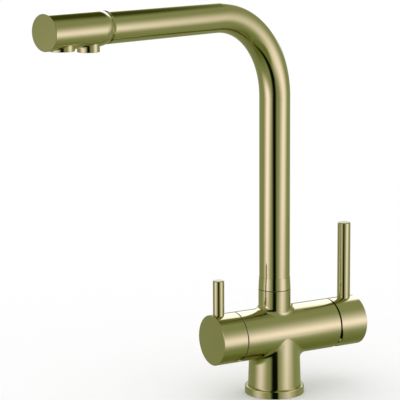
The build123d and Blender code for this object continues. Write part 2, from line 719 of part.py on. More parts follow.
# Moving disc and its carrier, low at rest so that the inlets are shut
with BuildPart() as moving_disc:
    disc_axis = parallel(barrel_plane, 0, 0, -disc_travel / 2)
    sleeve(disc_axis, moving_disc_back, carrier_back, 0, MOVING_DISC_RADIUS)
    pocket_end = moving_disc_back + MIXING_POCKET
    sleeve(disc_axis, moving_disc_back, pocket_end, 0, MIXING_POCKET_RADIUS, mode=Mode.SUBTRACT)
save(moving_disc, "mixer_moving_disc")

with BuildPart() as disc_carrier:
    sleeve(barrel_plane, carrier_back, carrier_back + CARRIER, 0, CARRIER_RADIUS)
    with BuildSketch(Plane.YZ.offset(carrier_back + CARRIER_FLOOR)):
        with Locations((0, BARREL_HEIGHT)):
            Rectangle(2 * (BALL_RADIUS + FREE), 2 * (BALL_RADIUS + FREE))
    extrude(amount=CARRIER - CARRIER_FLOOR, mode=Mode.SUBTRACT)
save(disc_carrier, "mixer_disc_carrier")

# Turret: turns in the housing and is slotted for the tilting spindle
with BuildPart() as turret:
    turret_end = turret_back + TURRET_LENGTH
    lathe(
        barrel_plane,
        (
            (turret_back, 0),
            (turret_back, cartridge_bore - FREE),
            (turret_top, cartridge_bore - FREE),
            (turret_top, TURRET_RADIUS),
            (turret_end, TURRET_RADIUS),
            (turret_end, 0),
        ),
    )
    lean = sin(radians(TILT))
    slot_low = SPINDLE_RADIUS + (turret_end - TILT_X) * lean + 2 * FREE + SPINDLE_RADIUS * lean
    slot_high = SPINDLE_RADIUS + (TILT_X - turret_back) * lean + FREE
    with BuildSketch(Plane.YZ.offset(turret_back)):
        with Locations((0, BARREL_HEIGHT + (slot_high - slot_low) / 2)):
            Rectangle(SPINDLE_SQUARE + 2 * FREE, slot_high + slot_low)
    extrude(amount=TURRET_LENGTH, mode=Mode.SUBTRACT)
    with BuildSketch(Plane.XZ.offset(-PIN_LENGTH / 2)):
        with Locations((TILT_X, BARREL_HEIGHT)):
            Circle(PIN_RADIUS + SEATED)
    extrude(amount=PIN_LENGTH, mode=Mode.SUBTRACT)
save(turret, "cartridge_turret")

with BuildPart() as pivot_pin:
    with BuildSketch(Plane.XZ.offset(-PIN_LENGTH / 2)):
        with Locations((TILT_X, BARREL_HEIGHT)):
            Circle(PIN_RADIUS)
    extrude(amount=PIN_LENGTH)
save(pivot_pin, "spindle_pivot_pin")

# Spindle: ball end in the carrier, pivot hub and square shank in the cap
with BuildPart() as mixer_spindle:
    hub_start = TILT_X - SPINDLE_HUB / 2
    hub_end = TILT_X + SPINDLE_HUB / 2
    with Locations((ball_x, 0, BARREL_HEIGHT)):
        Sphere(BALL_RADIUS)
    sleeve(barrel_plane, ball_x, hub_start, 0, SPINDLE_NECK)
    sleeve(barrel_plane, hub_start, hub_end, 0, SPINDLE_RADIUS)
    with BuildSketch(Plane.YZ.offset(hub_end)):
        with Locations((0, BARREL_HEIGHT)):
            Rectangle(SPINDLE_SQUARE, SPINDLE_SQUARE)
    extrude(amount=mixer_cap_floor + SPINDLE_GRIP - hub_end)
    with BuildSketch(Plane.XZ.offset(-SPINDLE_SQUARE / 2)):
        with Locations((TILT_X, BARREL_HEIGHT)):
            Circle(PIN_RADIUS + RUNNING)
    extrude(amount=SPINDLE_SQUARE, mode=Mode.SUBTRACT)
save(mixer_spindle, "mixer_spindle")

# Mixer handle: the cap's lower rim is cut away at a slant so that it clears the barrel when tilted
with BuildPart() as mixer_cap:
    lathe(
        barrel_plane,
        (
            (mixer_cap_floor, 0),
            (mixer_cap_floor, mixer_cap_bore),
            (mixer_cap_rim, mixer_cap_bore),
            (mixer_cap_rim, BARREL_RADIUS),
            (mixer_cap_face - CAP_EDGE, BARREL_RADIUS),
            (mixer_cap_face, BARREL_RADIUS - CAP_EDGE),
            (mixer_cap_face, 0),
        ),
    )
    with BuildSketch(barrel_plane.offset(-BARREL_RADIUS)):
        with BuildLine():
            Polyline(
                (mixer_cap_rim, 0),
                (mixer_cap_rim, -BARREL_RADIUS),
                (mixer_cap_rim + MIXER_RELIEF, -BARREL_RADIUS),
                close=True,
            )
        make_face()
    extrude(amount=2 * BARREL_RADIUS, mode=Mode.SUBTRACT)
    with BuildSketch(Plane.YZ.offset(mixer_cap_floor)):
        with Locations((0, BARREL_HEIGHT)):
            Rectangle(SPINDLE_SQUARE + 2 * SEATED, SPINDLE_SQUARE + 2 * SEATED)
    extrude(amount=SPINDLE_GRIP + FREE, mode=Mode.SUBTRACT)
    mixer_axis = parallel(foot_plane, mixer_rod_x)
    mixer_seat = crown - MIXER_ROD_SEAT
    mixer_stud_hole = mixer_seat - MIXER_STUD_LENGTH - FREE
    sleeve(mixer_axis, mixer_seat, crown, 0, MIXER_ROD_RADIUS + SEATED, mode=Mode.SUBTRACT)
    sleeve(mixer_axis, mixer_stud_hole, mixer_seat, 0, MIXER_STUD_RADIUS + SEATED, mode=Mode.SUBTRACT)
    sleeve(
        mixer_axis,
        BARREL_HEIGHT - BARREL_RADIUS,
        BARREL_HEIGHT,
        0,
        MIXER_SCREW_RADIUS + SEATED,
        mode=Mode.SUBTRACT,
    )
save(mixer_cap, "mixer_handle_cap")

with BuildPart() as mixer_rod:
    lathe(
        mixer_axis,
        (
            (mixer_seat - MIXER_STUD_LENGTH, 0),
            (mixer_seat - MIXER_STUD_LENGTH, MIXER_STUD_RADIUS),
            (mixer_seat, MIXER_STUD_RADIUS),
            (mixer_seat, MIXER_ROD_RADIUS),
            (MIXER_ROD_TOP - ROD_EDGE, MIXER_ROD_RADIUS),
            (MIXER_ROD_TOP, MIXER_ROD_RADIUS - ROD_EDGE),
            (MIXER_ROD_TOP, 0),
        ),
    )
save(mixer_rod, "mixer_lever_rod")

with BuildPart() as mixer_screw:
    mixer_tip = BARREL_HEIGHT - SPINDLE_SQUARE / 2 - SEATED
    sleeve(mixer_axis, mixer_tip - MIXER_SCREW_LENGTH, mixer_tip, 0, MIXER_SCREW_RADIUS)
save(mixer_screw, "mixer_cap_screw")
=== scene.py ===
"""Dress the kitchen mixer tap and set it in a plain studio, in metres, in the CAD frame."""

import json
import logging
from dataclasses import dataclass, field
from enum import Enum
from math import cos, hypot, pi, radians, sin, sqrt, tan
from typing import Any, Optional, Sequence

import bpy
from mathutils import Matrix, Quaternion, Vector


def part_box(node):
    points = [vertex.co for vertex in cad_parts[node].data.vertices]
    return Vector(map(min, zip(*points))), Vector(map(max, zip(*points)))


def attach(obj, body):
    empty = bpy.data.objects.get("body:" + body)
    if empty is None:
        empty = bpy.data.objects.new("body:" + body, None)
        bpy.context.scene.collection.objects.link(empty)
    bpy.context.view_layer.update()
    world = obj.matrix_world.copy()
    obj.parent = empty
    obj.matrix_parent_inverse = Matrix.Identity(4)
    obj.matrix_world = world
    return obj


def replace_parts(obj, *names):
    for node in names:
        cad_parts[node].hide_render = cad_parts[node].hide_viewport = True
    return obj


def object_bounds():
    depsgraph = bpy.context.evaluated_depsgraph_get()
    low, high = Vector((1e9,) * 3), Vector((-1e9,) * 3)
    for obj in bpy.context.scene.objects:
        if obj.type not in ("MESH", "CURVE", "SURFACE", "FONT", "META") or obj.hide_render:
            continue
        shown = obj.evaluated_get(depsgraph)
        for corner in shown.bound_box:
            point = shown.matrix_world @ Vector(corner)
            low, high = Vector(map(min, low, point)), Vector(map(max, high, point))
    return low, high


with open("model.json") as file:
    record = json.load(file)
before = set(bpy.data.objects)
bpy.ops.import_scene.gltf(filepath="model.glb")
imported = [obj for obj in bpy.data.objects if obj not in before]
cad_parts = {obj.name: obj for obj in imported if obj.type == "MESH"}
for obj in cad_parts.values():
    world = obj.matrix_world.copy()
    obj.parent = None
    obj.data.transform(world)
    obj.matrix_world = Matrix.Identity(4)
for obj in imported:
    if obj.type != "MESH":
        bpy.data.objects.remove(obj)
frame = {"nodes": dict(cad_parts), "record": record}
cad_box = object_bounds()

log = logging.getLogger("tap")
MM = 0.001
HEXAGON = 6
# Points on a ring of a small, a middling and a large turned piece
SMALL_ROUND, MIDDLE_ROUND, LARGE_ROUND = 48, 96, 128
# Noise values that the two tones and the gloss of a finish are spread over
TONE_SPREAD = (0.35, 0.65)
GLOSS_SPREAD = (0.3, 0.7)
Colour = tuple[float, float, float, float]


def linear(hex_colour: str) -> Colour:
    """Turn an sRGB hex colour into the linear colour that shaders take.

    Args:
        hex_colour: Six hex digits, with or without a leading hash.

    Returns:
        Red, green, blue and a full alpha.
    """
    digits = hex_colour.lstrip("#")
    parts = [int(digits[start:start + 2], 16) / 255 for start in (0, 2, 4)]
    bent = [part / 12.92 if part <= 0.04045 else ((part + 0.055) / 1.055) ** 2.4 for part in parts]
    return bent[0], bent[1], bent[2], 1.0


def add_node(
    tree: bpy.types.NodeTree,
    kind: str,
    settings: Optional[dict[Any, Any]] = None,
    links: Optional[dict[Any, bpy.types.NodeSocket]] = None,
) -> bpy.types.Node:
    """Add one shader node, set its values and wire its inputs.

    Args:
        tree: Node tree that takes the node.
        kind: Blender's name for the node's type.
        settings: Values by input name or number, or by the node's own attribute name.
        links: Output sockets by the name or number of the input that each one feeds.

    Returns:
        The new node.
    """
    node = tree.nodes.new(kind)
    for key, value in (settings or {}).items():
        if isinstance(key, int) or key in node.inputs:
            node.inputs[key].default_value = value
        else:
            setattr(node, key, value)
    for key, socket in (links or {}).items():
        tree.links.new(socket, node.inputs[key])
    return node


def span_point(span: tuple[float, float], share: float) -> float:
    """Return the place at a share of the way along a span."""
    return span[0] + share * (span[1] - span[0])


def soft_edge(place: float, span: tuple[float, float], fade: float) -> float:
    """Return 0 at both ends of a span, 1 in its middle and a smooth rise between.

    Args:
        place: Place to measure.
        span: Both ends.
        fade: Width over which each end rises, 0 for a hard edge.

    Returns:
        The cover there.
    """
    if fade <= 0:
        return 1.0
    near = min(1.0, max(0.0, place - span[0]) / fade)
    far = min(1.0, max(0.0, span[1] - place) / fade)
    return near * near * (3 - 2 * near) * far * far * (3 - 2 * far)


class Grain(Enum):
    """How a finish's fine relief lies on the surface, as its scale along x, y and z."""

    EVEN = (1.0, 1.0, 1.0)
    ROUND_X = (1.0, 0.05, 0.05)


@dataclass(frozen=True)
class Finish:
    """One real material and how its surface was made.

    The two tones drift into each other in soft patches, the gloss varies a little from place to
    place, and a fine relief breaks up the reflections.

    Attributes:
        name: Material's name.
        tone: Main colour, in sRGB hex.
        second_tone: Colour that the patches drift to, in sRGB hex.
        metallic: 1 for a metal, 0 for anything else.
        gloss: Lowest and highest roughness.
        patch_mm: Size of the patches of tone.
        haze_mm: Size of the patches of gloss.
        relief_mm: Size of the relief's grains.
        relief_depth_mm: Depth of the relief.
        grain: How the relief lies on the surface.
    """

    name: str
    tone: str
    second_tone: str
    metallic: float
    gloss: tuple[float, float]
    patch_mm: float
    haze_mm: float
    relief_mm: float
    relief_depth_mm: float
    grain: Grain = Grain.EVEN

    def material(self) -> bpy.types.Material:
        """Return the finish's Blender material, made on first use."""
        made = bpy.data.materials.get(self.name)
        return made if made else self._make()

    def _make(self) -> bpy.types.Material:
        """Build the shader.

        Returns:
            The new material.
        """
        made = bpy.data.materials.new(self.name)
        made.use_nodes = True
        tree = made.node_tree
        tree.nodes.clear()
        place = add_node(tree, "ShaderNodeTexCoord").outputs["Object"]
        patches = add_node(
            tree,
            "ShaderNodeTexNoise",
            {"Scale": 1 / (self.patch_mm * MM), "Detail": 3.0, "Roughness": 0.55},
            {"Vector": place},
        )
        tones = add_node(tree, "ShaderNodeValToRGB", links={"Fac": patches.outputs["Fac"]})
        stops = zip(tones.color_ramp.elements, TONE_SPREAD, (self.tone, self.second_tone))
        for stop, position, tone in stops:
            stop.position = position
            stop.color = linear(tone)
        haze = add_node(
            tree,
            "ShaderNodeTexNoise",
            {"Scale": 1 / (self.haze_mm * MM), "Detail": 4.0, "Roughness": 0.6},
            {"Vector": place},
        )
        gloss = add_node(
            tree,
            "ShaderNodeMapRange",
            {
                "From Min": GLOSS_SPREAD[0],
                "From Max": GLOSS_SPREAD[1],
                "To Min": self.gloss[0],
                "To Max": self.gloss[1],
            },
            {"Value": haze.outputs["Fac"]},
        )
        stretched = add_node(
            tree, "ShaderNodeMapping", {"Scale": self.grain.value}, {"Vector": place}
        )
        fine = add_node(
            tree,
            "ShaderNodeTexNoise",
            {"Scale": 1 / (self.relief_mm * MM), "Detail": 2.0, "Roughness": 0.5},
            {"Vector": stretched.outputs["Vector"]},
        )
        relief = add_node(
            tree,
            "ShaderNodeBump",
            {"Strength": 1.0, "Distance": self.relief_depth_mm * MM},
            {"Height": fine.outputs["Fac"]},
        )
        surface = add_node(
            tree,
            "ShaderNodeBsdfPrincipled",
            {"Metallic": self.metallic},
            {
                "Base Color": tones.outputs["Color"],
                "Roughness": gloss.outputs["Result"],
                "Normal": relief.outputs["Normal"],
            },
        )
        add_node(tree, "ShaderNodeOutputMaterial", links={"Surface": surface.outputs["BSDF"]})
        return made


# Brass, polished and plated in an olive gold: a clear mirror with a little haze from the buffing
PLATED_BRASS = Finish(
    "plated_brass_polished",
    tone="#CDC595",
    second_tone="#CAC291",
    metallic=1.0,
    gloss=(0.05, 0.09),
    patch_mm=60,
    haze_mm=14,
    relief_mm=9,
    relief_depth_mm=0.0004,
)
# Brass as it leaves the lathe: yellower and duller, with fine rings round the axis, drawn coarser
# than the tool leaves them so that they show
TURNED_BRASS = Finish(
    "turned_brass",
    tone="#C9A45A",
    second_tone="#B8934B",
    metallic=1.0,
    gloss=(0.22, 0.34),
    patch_mm=12,
    haze_mm=5,
    relief_mm=1.2,
    relief_depth_mm=0.004,
    grain=Grain.ROUND_X,
)
# Nitrile rubber, moulded: nearly black, with a dull even sheen
SEAL_RUBBER = Finish(
    "nitrile_rubber_moulded",
    tone="#1C1C1B",
    second_tone="#242423",
    metallic=0.0,
    gloss=(0.5, 0.65),
    patch_mm=6,
    haze_mm=3,
    relief_mm=0.8,
    relief_depth_mm=0.02,
)
# Alumina, fired and lapped: a cool white with faint clouds
FIRED_ALUMINA = Finish(
    "alumina_lapped",
    tone="#EDEBE4",
    second_tone="#E1DED5",
    metallic=0.0,
    gloss=(0.18, 0.3),
    patch_mm=8,
    haze_mm=4,
    relief_mm=0.7,
    relief_depth_mm=0.002,
)
# Acetal, injection moulded: a milky light grey with a soft skin
MOULDED_ACETAL = Finish(
    "acetal_moulded",
    tone="#D9D8D2",
    second_tone="#CFCEC8",
    metallic=0.0,
    gloss=(0.35, 0.48),
    patch_mm=15,
    haze_mm=4,
    relief_mm=1.0,
    relief_depth_mm=0.006,
)
# Acetal for the spout's glide washer, slippery; its dark grey is painted shade for the narrow gap
# that the washer sits back in
GLIDE_ACETAL_PAINTED_SHADE = Finish(
    "acetal_dark_painted_shade",
    tone="#3A3A38",
    second_tone="#434340",
    metallic=0.0,
    gloss=(0.35, 0.5),
    patch_mm=9,
    haze_mm=3,
    relief_mm=0.9,
    relief_depth_mm=0.006,
)
# Stainless steel, cold headed: pale grey, a little frosted
HEADED_STEEL = Finish(
    "stainless_steel_headed",
    tone="#B9BABA",
    second_tone="#A9AAAB",
    metallic=1.0,
    gloss=(0.25, 0.36),
    patch_mm=5,
    haze_mm=2,
    relief_mm=0.9,
    relief_depth_mm=0.003,
)


@dataclass(frozen=True)
class Ring:
    """One ring of points round an axis, a circle or a polygon.

    Attributes:
        station: Place along the axis, in metres.
        radius: Circle's radius, or distance from the axis to a polygon's flat side.
        sides: Number of flat sides, or 0 for a circle.
    """

    station: float
    radius: float
    sides: int = 0

    def reach(self, angle: float) -> float:
        """Measure the ring's distance from the axis at an angle.

        Args:
            angle: Angle round the axis, in radians.

        Returns:
            The distance, in metres.
        """
        if not self.sides:
            return self.radius
        half = pi / self.sides
        return self.radius / cos(angle % (2 * half) - half)


@dataclass(frozen=True)
class Axis:
    """A line that turned pieces are built round.

    Attributes:
        origin: Point on the line that stations count from.
        along: Direction that stations count in.
    """

    origin: Vector
    along: Vector

    def point(self, station: float, radius: float, angle: float) -> Vector:
        """Return the point at a station, radius and angle.

        Args:
            station: Place along the axis.
            radius: Distance from the axis.
            angle: Angle round the axis, in radians.

        Returns:
            The point in the row frame.
        """
        turn = self.along.to_track_quat("Z", "Y")
        spoke = Vector((radius * cos(angle), radius * sin(angle), station))
        return self.origin + turn @ spoke


def mesh_piece(
    name: str,
    points: Sequence[Vector],
    faces: Sequence[Sequence[int]],
    finish: Finish,
    sharp_deg: float = 30.0,
) -> bpy.types.Object:
    """Make a mesh object from points and faces.

    Args:
        name: Object's name.
        points: Corners in the row frame.
        faces: Corner numbers of each face.
        finish: Finish that the piece wears.
        sharp_deg: Edges that turn by more than this stay sharp.

    Returns:
        The new object, linked to the scene.
    """
    mesh = bpy.data.meshes.new(name)
    mesh.from_pydata([tuple(point) for point in points], [], [list(face) for face in faces])
    mesh.validate()
    mesh.shade_smooth()
    mesh.set_sharp_from_angle(angle=radians(sharp_deg))
    mesh.materials.append(finish.material())
    piece = bpy.data.objects.new(name, mesh)
    bpy.context.scene.collection.objects.link(piece)
    return piece


def turned_piece(
    name: str,
    axis: Axis,
    rings: Sequence[Ring],
    finish: Finish,
    segments: int = SMALL_ROUND,
    hollow: bool = False,
) -> bpy.types.Object:
    """Make a closed piece by skinning rings in order.

    Args:
        name: Object's name.
        axis: Line through the rings' centres.
        rings: Rings in order, from one end to the other, or once round a hollow piece's section.
        finish: Finish that the piece wears.
        segments: Points on each ring.
        hollow: Whether the last ring joins the first, instead of caps on both ends.

    Returns:
        The new object.
    """
    turns = [step * 2 * pi / segments for step in range(segments)]
    rows = [[axis.point(ring.station, ring.reach(turn), turn) for turn in turns] for ring in rings]
    return skinned_piece(name, rows, finish, hollow)


def skinned_piece(
    name: str,
    rows: Sequence[Sequence[Vector]],
    finish: Finish,
    hollow: bool = False,
) -> bpy.types.Object:
    """Make a closed piece by skinning closed rows of points in order.

    Args:
        name: Object's name.
        rows: Rows of equally many points, each row once round the piece.
        finish: Finish that the piece wears.
        hollow: Whether the last row joins the first, instead of caps on both ends.

    Returns:
        The new object.
    """
    count = len(rows[0])
    faces: list[Sequence[int]] = []
    for row in range(len(rows) if hollow else len(rows) - 1):
        for step in range(count):
            after = (step + 1) % count
            low, high = row * count, (row + 1) % len(rows) * count
            faces.append((low + step, low + after, high + after, high + step))
    if not hollow:
        last = (len(rows) - 1) * count
        faces += [range(count - 1, -1, -1), range(last, last + count)]
    return mesh_piece(name, [point for row in rows for point in row], faces, finish)


@dataclass
class SubAssembly:
    """Pieces of the tap that move together, and what they are made of.

    Attributes:
        body: CAD body that carries them.
        finishes: CAD nodes by the finish that they wear.
    """

    body: str
    finishes: dict[Finish, tuple[str, ...]]

    def build(self) -> list[bpy.types.Object]:
        """Return no new pieces, because the CAD nodes alone make up this sub-assembly."""
        return []

    def dress(self) -> None:
        """Give each CAD node of this sub-assembly its finish."""
        for finish, nodes in self.finishes.items():
            for node in nodes:
                slots = frame["nodes"][node].data.materials
                slots.clear()
                slots.append(finish.material())
                log.info("%s: %s", node, finish.name)

    def carry(self, piece: bpy.types.Object, slot: str) -> bpy.types.Object:
        """Let a new piece ride on this sub-assembly's body."""
        log.info("%s: rides on %s", piece.name, self.body)
        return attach(piece, self.body)


@dataclass
class SocketScrew:
    """A grub screw with a hexagon socket.

    Attributes:
        node: CAD node that the screw stands for.
        out: Direction from its tip to its socket.
        radius: Radius of the screw.
        length: Length from tip to face.
        key_width: Socket's width across flats.
        socket_depth: Socket's depth.
        edge: Chamfer on the face and in the socket's mouth, and half of the one on the tip.
    """

    node: str
    out: Vector
    radius: float
    length: float
    key_width: float
    socket_depth: float
    edge: float = 0.3 * MM

    def build(self, finish: Finish) -> bpy.types.Object:
        """Build the screw where its CAD node is and let it stand for that node.

        Args:
            finish: Finish that the screw wears.

        Returns:
            The new piece.
        """
        low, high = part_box(self.node)
        middle = (low + high) / 2
        tip, face = -self.length / 2, self.length / 2
        flat = self.key_width / 2
        rings = (
            Ring(tip, self.radius - 2 * self.edge),
            Ring(tip + 2 * self.edge, self.radius),
            Ring(face - self.edge, self.radius),
            Ring(face, self.radius - self.edge),
            Ring(face, flat + self.edge, HEXAGON),
            Ring(face - self.edge, flat, HEXAGON),
            Ring(face - self.socket_depth, flat, HEXAGON),
        )
        piece = turned_piece(f"{self.node}_socket", Axis(middle, self.out), rings, finish)
        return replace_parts(piece, self.node)


@dataclass
class ScrewThread:
    """Helical ridge inside a threaded hole in the foot.

    Attributes:
        name: Thread's name.
        place: Middle of the hole's mouth, along x and y.
        radius: Radius of the hole.
        depth: Depth of the hole.
        pitch: Rise of one turn.
        steps: Corners in one turn.
        ridge_share: Ridge's height and half its width, in pitches.
        start_share: Height of the ridge's start over the mouth, in pitches.
        sharp_deg: Edges that turn by more than this stay sharp.
    """

    name: str
    place: tuple[float, float]
    radius: float
    depth: float
    pitch: float
    steps: int = 32
    ridge_share: float = 0.45
    start_share: float = 0.6
    sharp_deg: float = 40.0

    def build(self, finish: Finish) -> bpy.types.Object:
        """Build the ridge as a three-sided strip wound up the hole.

        Args:
            finish: Finish that the thread wears.

        Returns:
            The new piece.
        """
        axis = Axis(Vector((*self.place, 0)), Vector((0, 0, 1)))
        count = int((self.depth - 2 * self.pitch) / self.pitch * self.steps)
        height = self.ridge_share * self.pitch
        points: list[Vector] = []
        for step in range(count + 1):
            angle = step * 2 * pi / self.steps
            rise = self.pitch * (step / self.steps + self.start_share)
            # The first and last turns run out to nothing
            run_out = min(1.0, step / self.steps, (count - step) / self.steps)
            points += [
                axis.point(rise - height, self.radius, angle),
                axis.point(rise, self.radius - height * run_out, angle),
                axis.point(rise + height, self.radius, angle),
            ]
        faces: list[Sequence[int]] = []
        for step in range(count):
            low, high = 3 * step, 3 * step + 3
            faces += [(low + 1, high + 1, high, low), (low + 2, high + 2, high + 1, low + 1)]
        return mesh_piece(self.name, points, faces, finish, self.sharp_deg)


@dataclass
class Honeycomb:
    """Moulded honeycomb that straightens the stream, in the recess under a jet insert.

    Attributes:
        name: Honeycomb's name.
        insert: CAD node of the jet insert over it.
        ring: CAD node of the outlet ring round it.
        pitch: Distance between the middles of two cells.
        wall: Thickness of the walls.
        inset: How far the mouth lies above the outlet ring's foot.
        edge_share: Room between the middle of a cell and the outlet's wall, in pitches.
    """

    name: str
    insert: str
    ring: str
    pitch: float = 2.3 * MM
    wall: float = 0.42 * MM
    inset: float = 0.12 * MM
    edge_share: float = 0.45

    def build(self, finish: Finish) -> bpy.types.Object:
        """Build hexagonal cells inside the outlet ring.

        Args:
            finish: Finish that the honeycomb wears.

        Returns:
            The new piece.
        """
        low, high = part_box(self.insert)
        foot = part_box(self.ring)[0].z + self.inset
        middle = (low + high) / 2
        reach = (high.x - low.x) / 2
        points: list[Vector] = []
        faces: list[Sequence[int]] = []
        across = self.pitch / 2
        rows = int(reach / self.pitch) + 2
        for row in range(-rows, rows + 1):
            for column in range(-rows, rows + 1):
                x = self.pitch * (column + 0.5 * (row % 2))
                y = self.pitch * row * cos(pi / HEXAGON)
                if Vector((x, y)).length > reach - self.edge_share * self.pitch:
                    continue
                centre = Vector((middle.x + x, middle.y + y, foot))
                self._cell(points, faces, centre, across, low.z)
        return mesh_piece(self.name, points, faces, finish)

    def _cell(
        self,
        points: list[Vector],
        faces: list[Sequence[int]],
        centre: Vector,
        across: float,
        top: float,
    ) -> None:
        """Add one cell: a six-sided rim and the six walls behind it.

        Args:
            points: Corners so far, added to.
            faces: Faces so far, added to.
            centre: Middle of the cell's mouth.
            across: Distance from the middle to a shared wall's centre line.
            top: Height where the walls end.
        """
        start = len(points)
        half = pi / HEXAGON
        outer, inner = across / cos(half), (across - self.wall / 2) / cos(half)
        for reach, height in ((outer, centre.z), (inner, centre.z), (inner, top)):
            for corner in range(HEXAGON):
                angle = (2 * corner + 1) * half
                x, y = centre.x + reach * cos(angle), centre.y + reach * sin(angle)
                points.append(Vector((x, y, height)))
        for corner in range(HEXAGON):
            after = (corner + 1) % HEXAGON
            for ring in (0, HEXAGON):
                low, high = start + ring, start + ring + HEXAGON
                faces.append((low + after, low + corner, high + corner, high + after))


@dataclass
class FixedBody(SubAssembly):
    """Foot ring, casting, filter valve housing and cartridge housing: all that stands still.

    Attributes:
        port_pitch: Thread pitch of the hose ports.
        stud_pitch: Thread pitch of the hole for the fixing stud.
        screw_radius: Radius of the spout's retaining screw.
        screw_key: Width across flats of its socket.
        screw_socket: Depth of its socket.
        barrel_height: Height of the barrel's axis.
        glide_radii: Inner radius of the ring beside the filter cap, radius where the chamfer on the
            barrel's end starts, and outer radius of the ring.
        glide_play: Room on both sides of that ring.
        glide_lip: How far the ring laps into the chamfer.
        cap_wall: Wall of the mixer cap at its rim.
        dome_play: Room between the dome and the mixer cap's inner edge, at any tilt.
        dome_length: How far the dome stands out of the barrel.
        dome_seal: Width of the dark seal at the dome's foot, a seal whose dark rubber is also
            painted shade that darkens the mixer split.
        dome_bore: Radius of the hole in the dome and the seal.
        dome_steps: Steps along each of these two rings.
    """

    body: str = "body"
    finishes: dict[Finish, tuple[str, ...]] = field(default_factory=lambda: {
        PLATED_BRASS: ("base_ring", "body_casting"),
        TURNED_BRASS: ("filter_valve_housing", "filter_valve_seat", "cartridge_nut"),
        SEAL_RUBBER: ("base_gasket", "filter_pipe_seal", "filter_valve_washer", "cartridge_seals"),
        FIRED_ALUMINA: ("filter_fixed_disc", "mixer_fixed_disc"),
        MOULDED_ACETAL: ("cartridge_base", "cartridge_housing"),
        # Dark grey as painted shade in the narrow gap that the washer sits back in
        GLIDE_ACETAL_PAINTED_SHADE: ("spout_glide_washer",),
        HEADED_STEEL: ("spout_retaining_screw",),
    })
    port_pitch: float = 1.0 * MM
    stud_pitch: float = 1.25 * MM
    screw_radius: float = 2.4 * MM
    screw_key: float = 2.5 * MM
    screw_socket: float = 2.2 * MM
    barrel_height: float = 57.4 * MM
    glide_radii: tuple[float, float, float] = (20.0 * MM, 22.2 * MM, 22.8 * MM)
    glide_play: float = 0.05 * MM
    glide_lip: float = 0.3 * MM
    cap_wall: float = 2.0 * MM
    dome_play: float = 0.25 * MM
    dome_length: float = 3.6 * MM
    dome_seal: float = 1.7 * MM
    dome_bore: float = 18.2 * MM
    dome_steps: int = 6

    def build(self) -> list[bpy.types.Object]:
        """Build the foot's threads, the spout's retaining screw and the rings in the two splits.

        Returns:
            The new pieces.
        """
        pieces: list[bpy.types.Object] = []
        for mount in frame["record"]["mounts"]:
            if mount["kind"] != "threaded_hole":
                continue
            thread = ScrewThread(
                f"{mount['name']}_thread",
                place=(mount["pos_m"][0], mount["pos_m"][1]),
                radius=mount["dims"]["r_mm"] * MM,
                depth=mount["dims"]["length_mm"] * MM,
                pitch=self.stud_pitch if mount["name"] == "fixing_stud" else self.port_pitch,
            )
            pieces.append(self.carry(thread.build(TURNED_BRASS), "raw_brass"))
        low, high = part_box("spout_retaining_screw")
        screw = SocketScrew(
            "spout_retaining_screw",
            out=Vector((0, 1, 0)),
            radius=self.screw_radius,
            length=high.y - low.y,
            key_width=self.screw_key,
            socket_depth=self.screw_socket,
        )
        pieces.append(self.carry(screw.build(HEADED_STEEL), "steel"))
        # A thin dark rubber ring as painted shade in the split beside the filter cap
        pieces.append(self.carry(self._split_shade_ring(), "seal_rubber"))
        # A dark rubber seal at the dome's foot, partly painted shade: it darkens the mixer split
        # line
        seal = self._dome_ring("cartridge_dome_shade_seal", (0.0, self.dome_seal), SEAL_RUBBER)
        pieces.append(self.carry(seal, "seal_rubber"))
        shell = (self.dome_seal, self.dome_length)
        dome = self._dome_ring("cartridge_dome", shell, PLATED_BRASS)
        pieces.append(self.carry(dome, "polished_brass"))
        return pieces

    def _split_shade_ring(self) -> bpy.types.Object:
        """Build a thin ring of dark rubber in the split beside the barrel, next to the filter cap;
        its dark rubber is painted shade that darkens the split line.

        Returns:
            The new piece.
        """
        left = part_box("filter_handle_cap")[1].x + self.glide_play
        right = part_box("body_casting")[0].x - self.glide_play
        inner, edge, outer = self.glide_radii
        barrel = Axis(Vector((0, 0, self.barrel_height)), Vector((1, 0, 0)))
        rings = (
            Ring(left, inner),
            Ring(left, outer),
            Ring(right + self.glide_lip, outer),
            Ring(right + self.glide_lip, edge + self.glide_lip),
            Ring(right, edge),
            Ring(right, inner),
        )
        return turned_piece(
            "filter_split_shade_ring", barrel, rings, SEAL_RUBBER, MIDDLE_ROUND, hollow=True
        )

    def _dome_ring(
        self, name: str, span: tuple[float, float], finish: Finish
    ) -> bpy.types.Object:
        """Build a ring on the barrel's right end, domed round the pin that the mixer cap tilts on.

        Args:
            name: Ring's name.
            span: Where it starts and stops, counted from the barrel's end.
            finish: Finish that it wears.

        Returns:
            The new piece.
        """
        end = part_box("body_casting")[1].x
        pin = sum(corner.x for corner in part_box("spindle_pivot_pin")) / 2
        low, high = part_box("mixer_handle_cap")
        ball = hypot(low.x - pin, (high.z - low.z) / 2 - self.cap_wall) - self.dome_play
        barrel = Axis(Vector((0, 0, self.barrel_height)), Vector((1, 0, 0)))
        shares = [step / self.dome_steps for step in range(self.dome_steps + 1)]
        stations = [end + span_point(span, share) for share in shares]
        rings = [Ring(station, sqrt(ball ** 2 - (station - pin) ** 2)) for station in stations]
        rings += [Ring(stations[-1], self.dome_bore), Ring(stations[0], self.dome_bore)]
        return turned_piece(name, barrel, rings, finish, LARGE_ROUND, hollow=True)


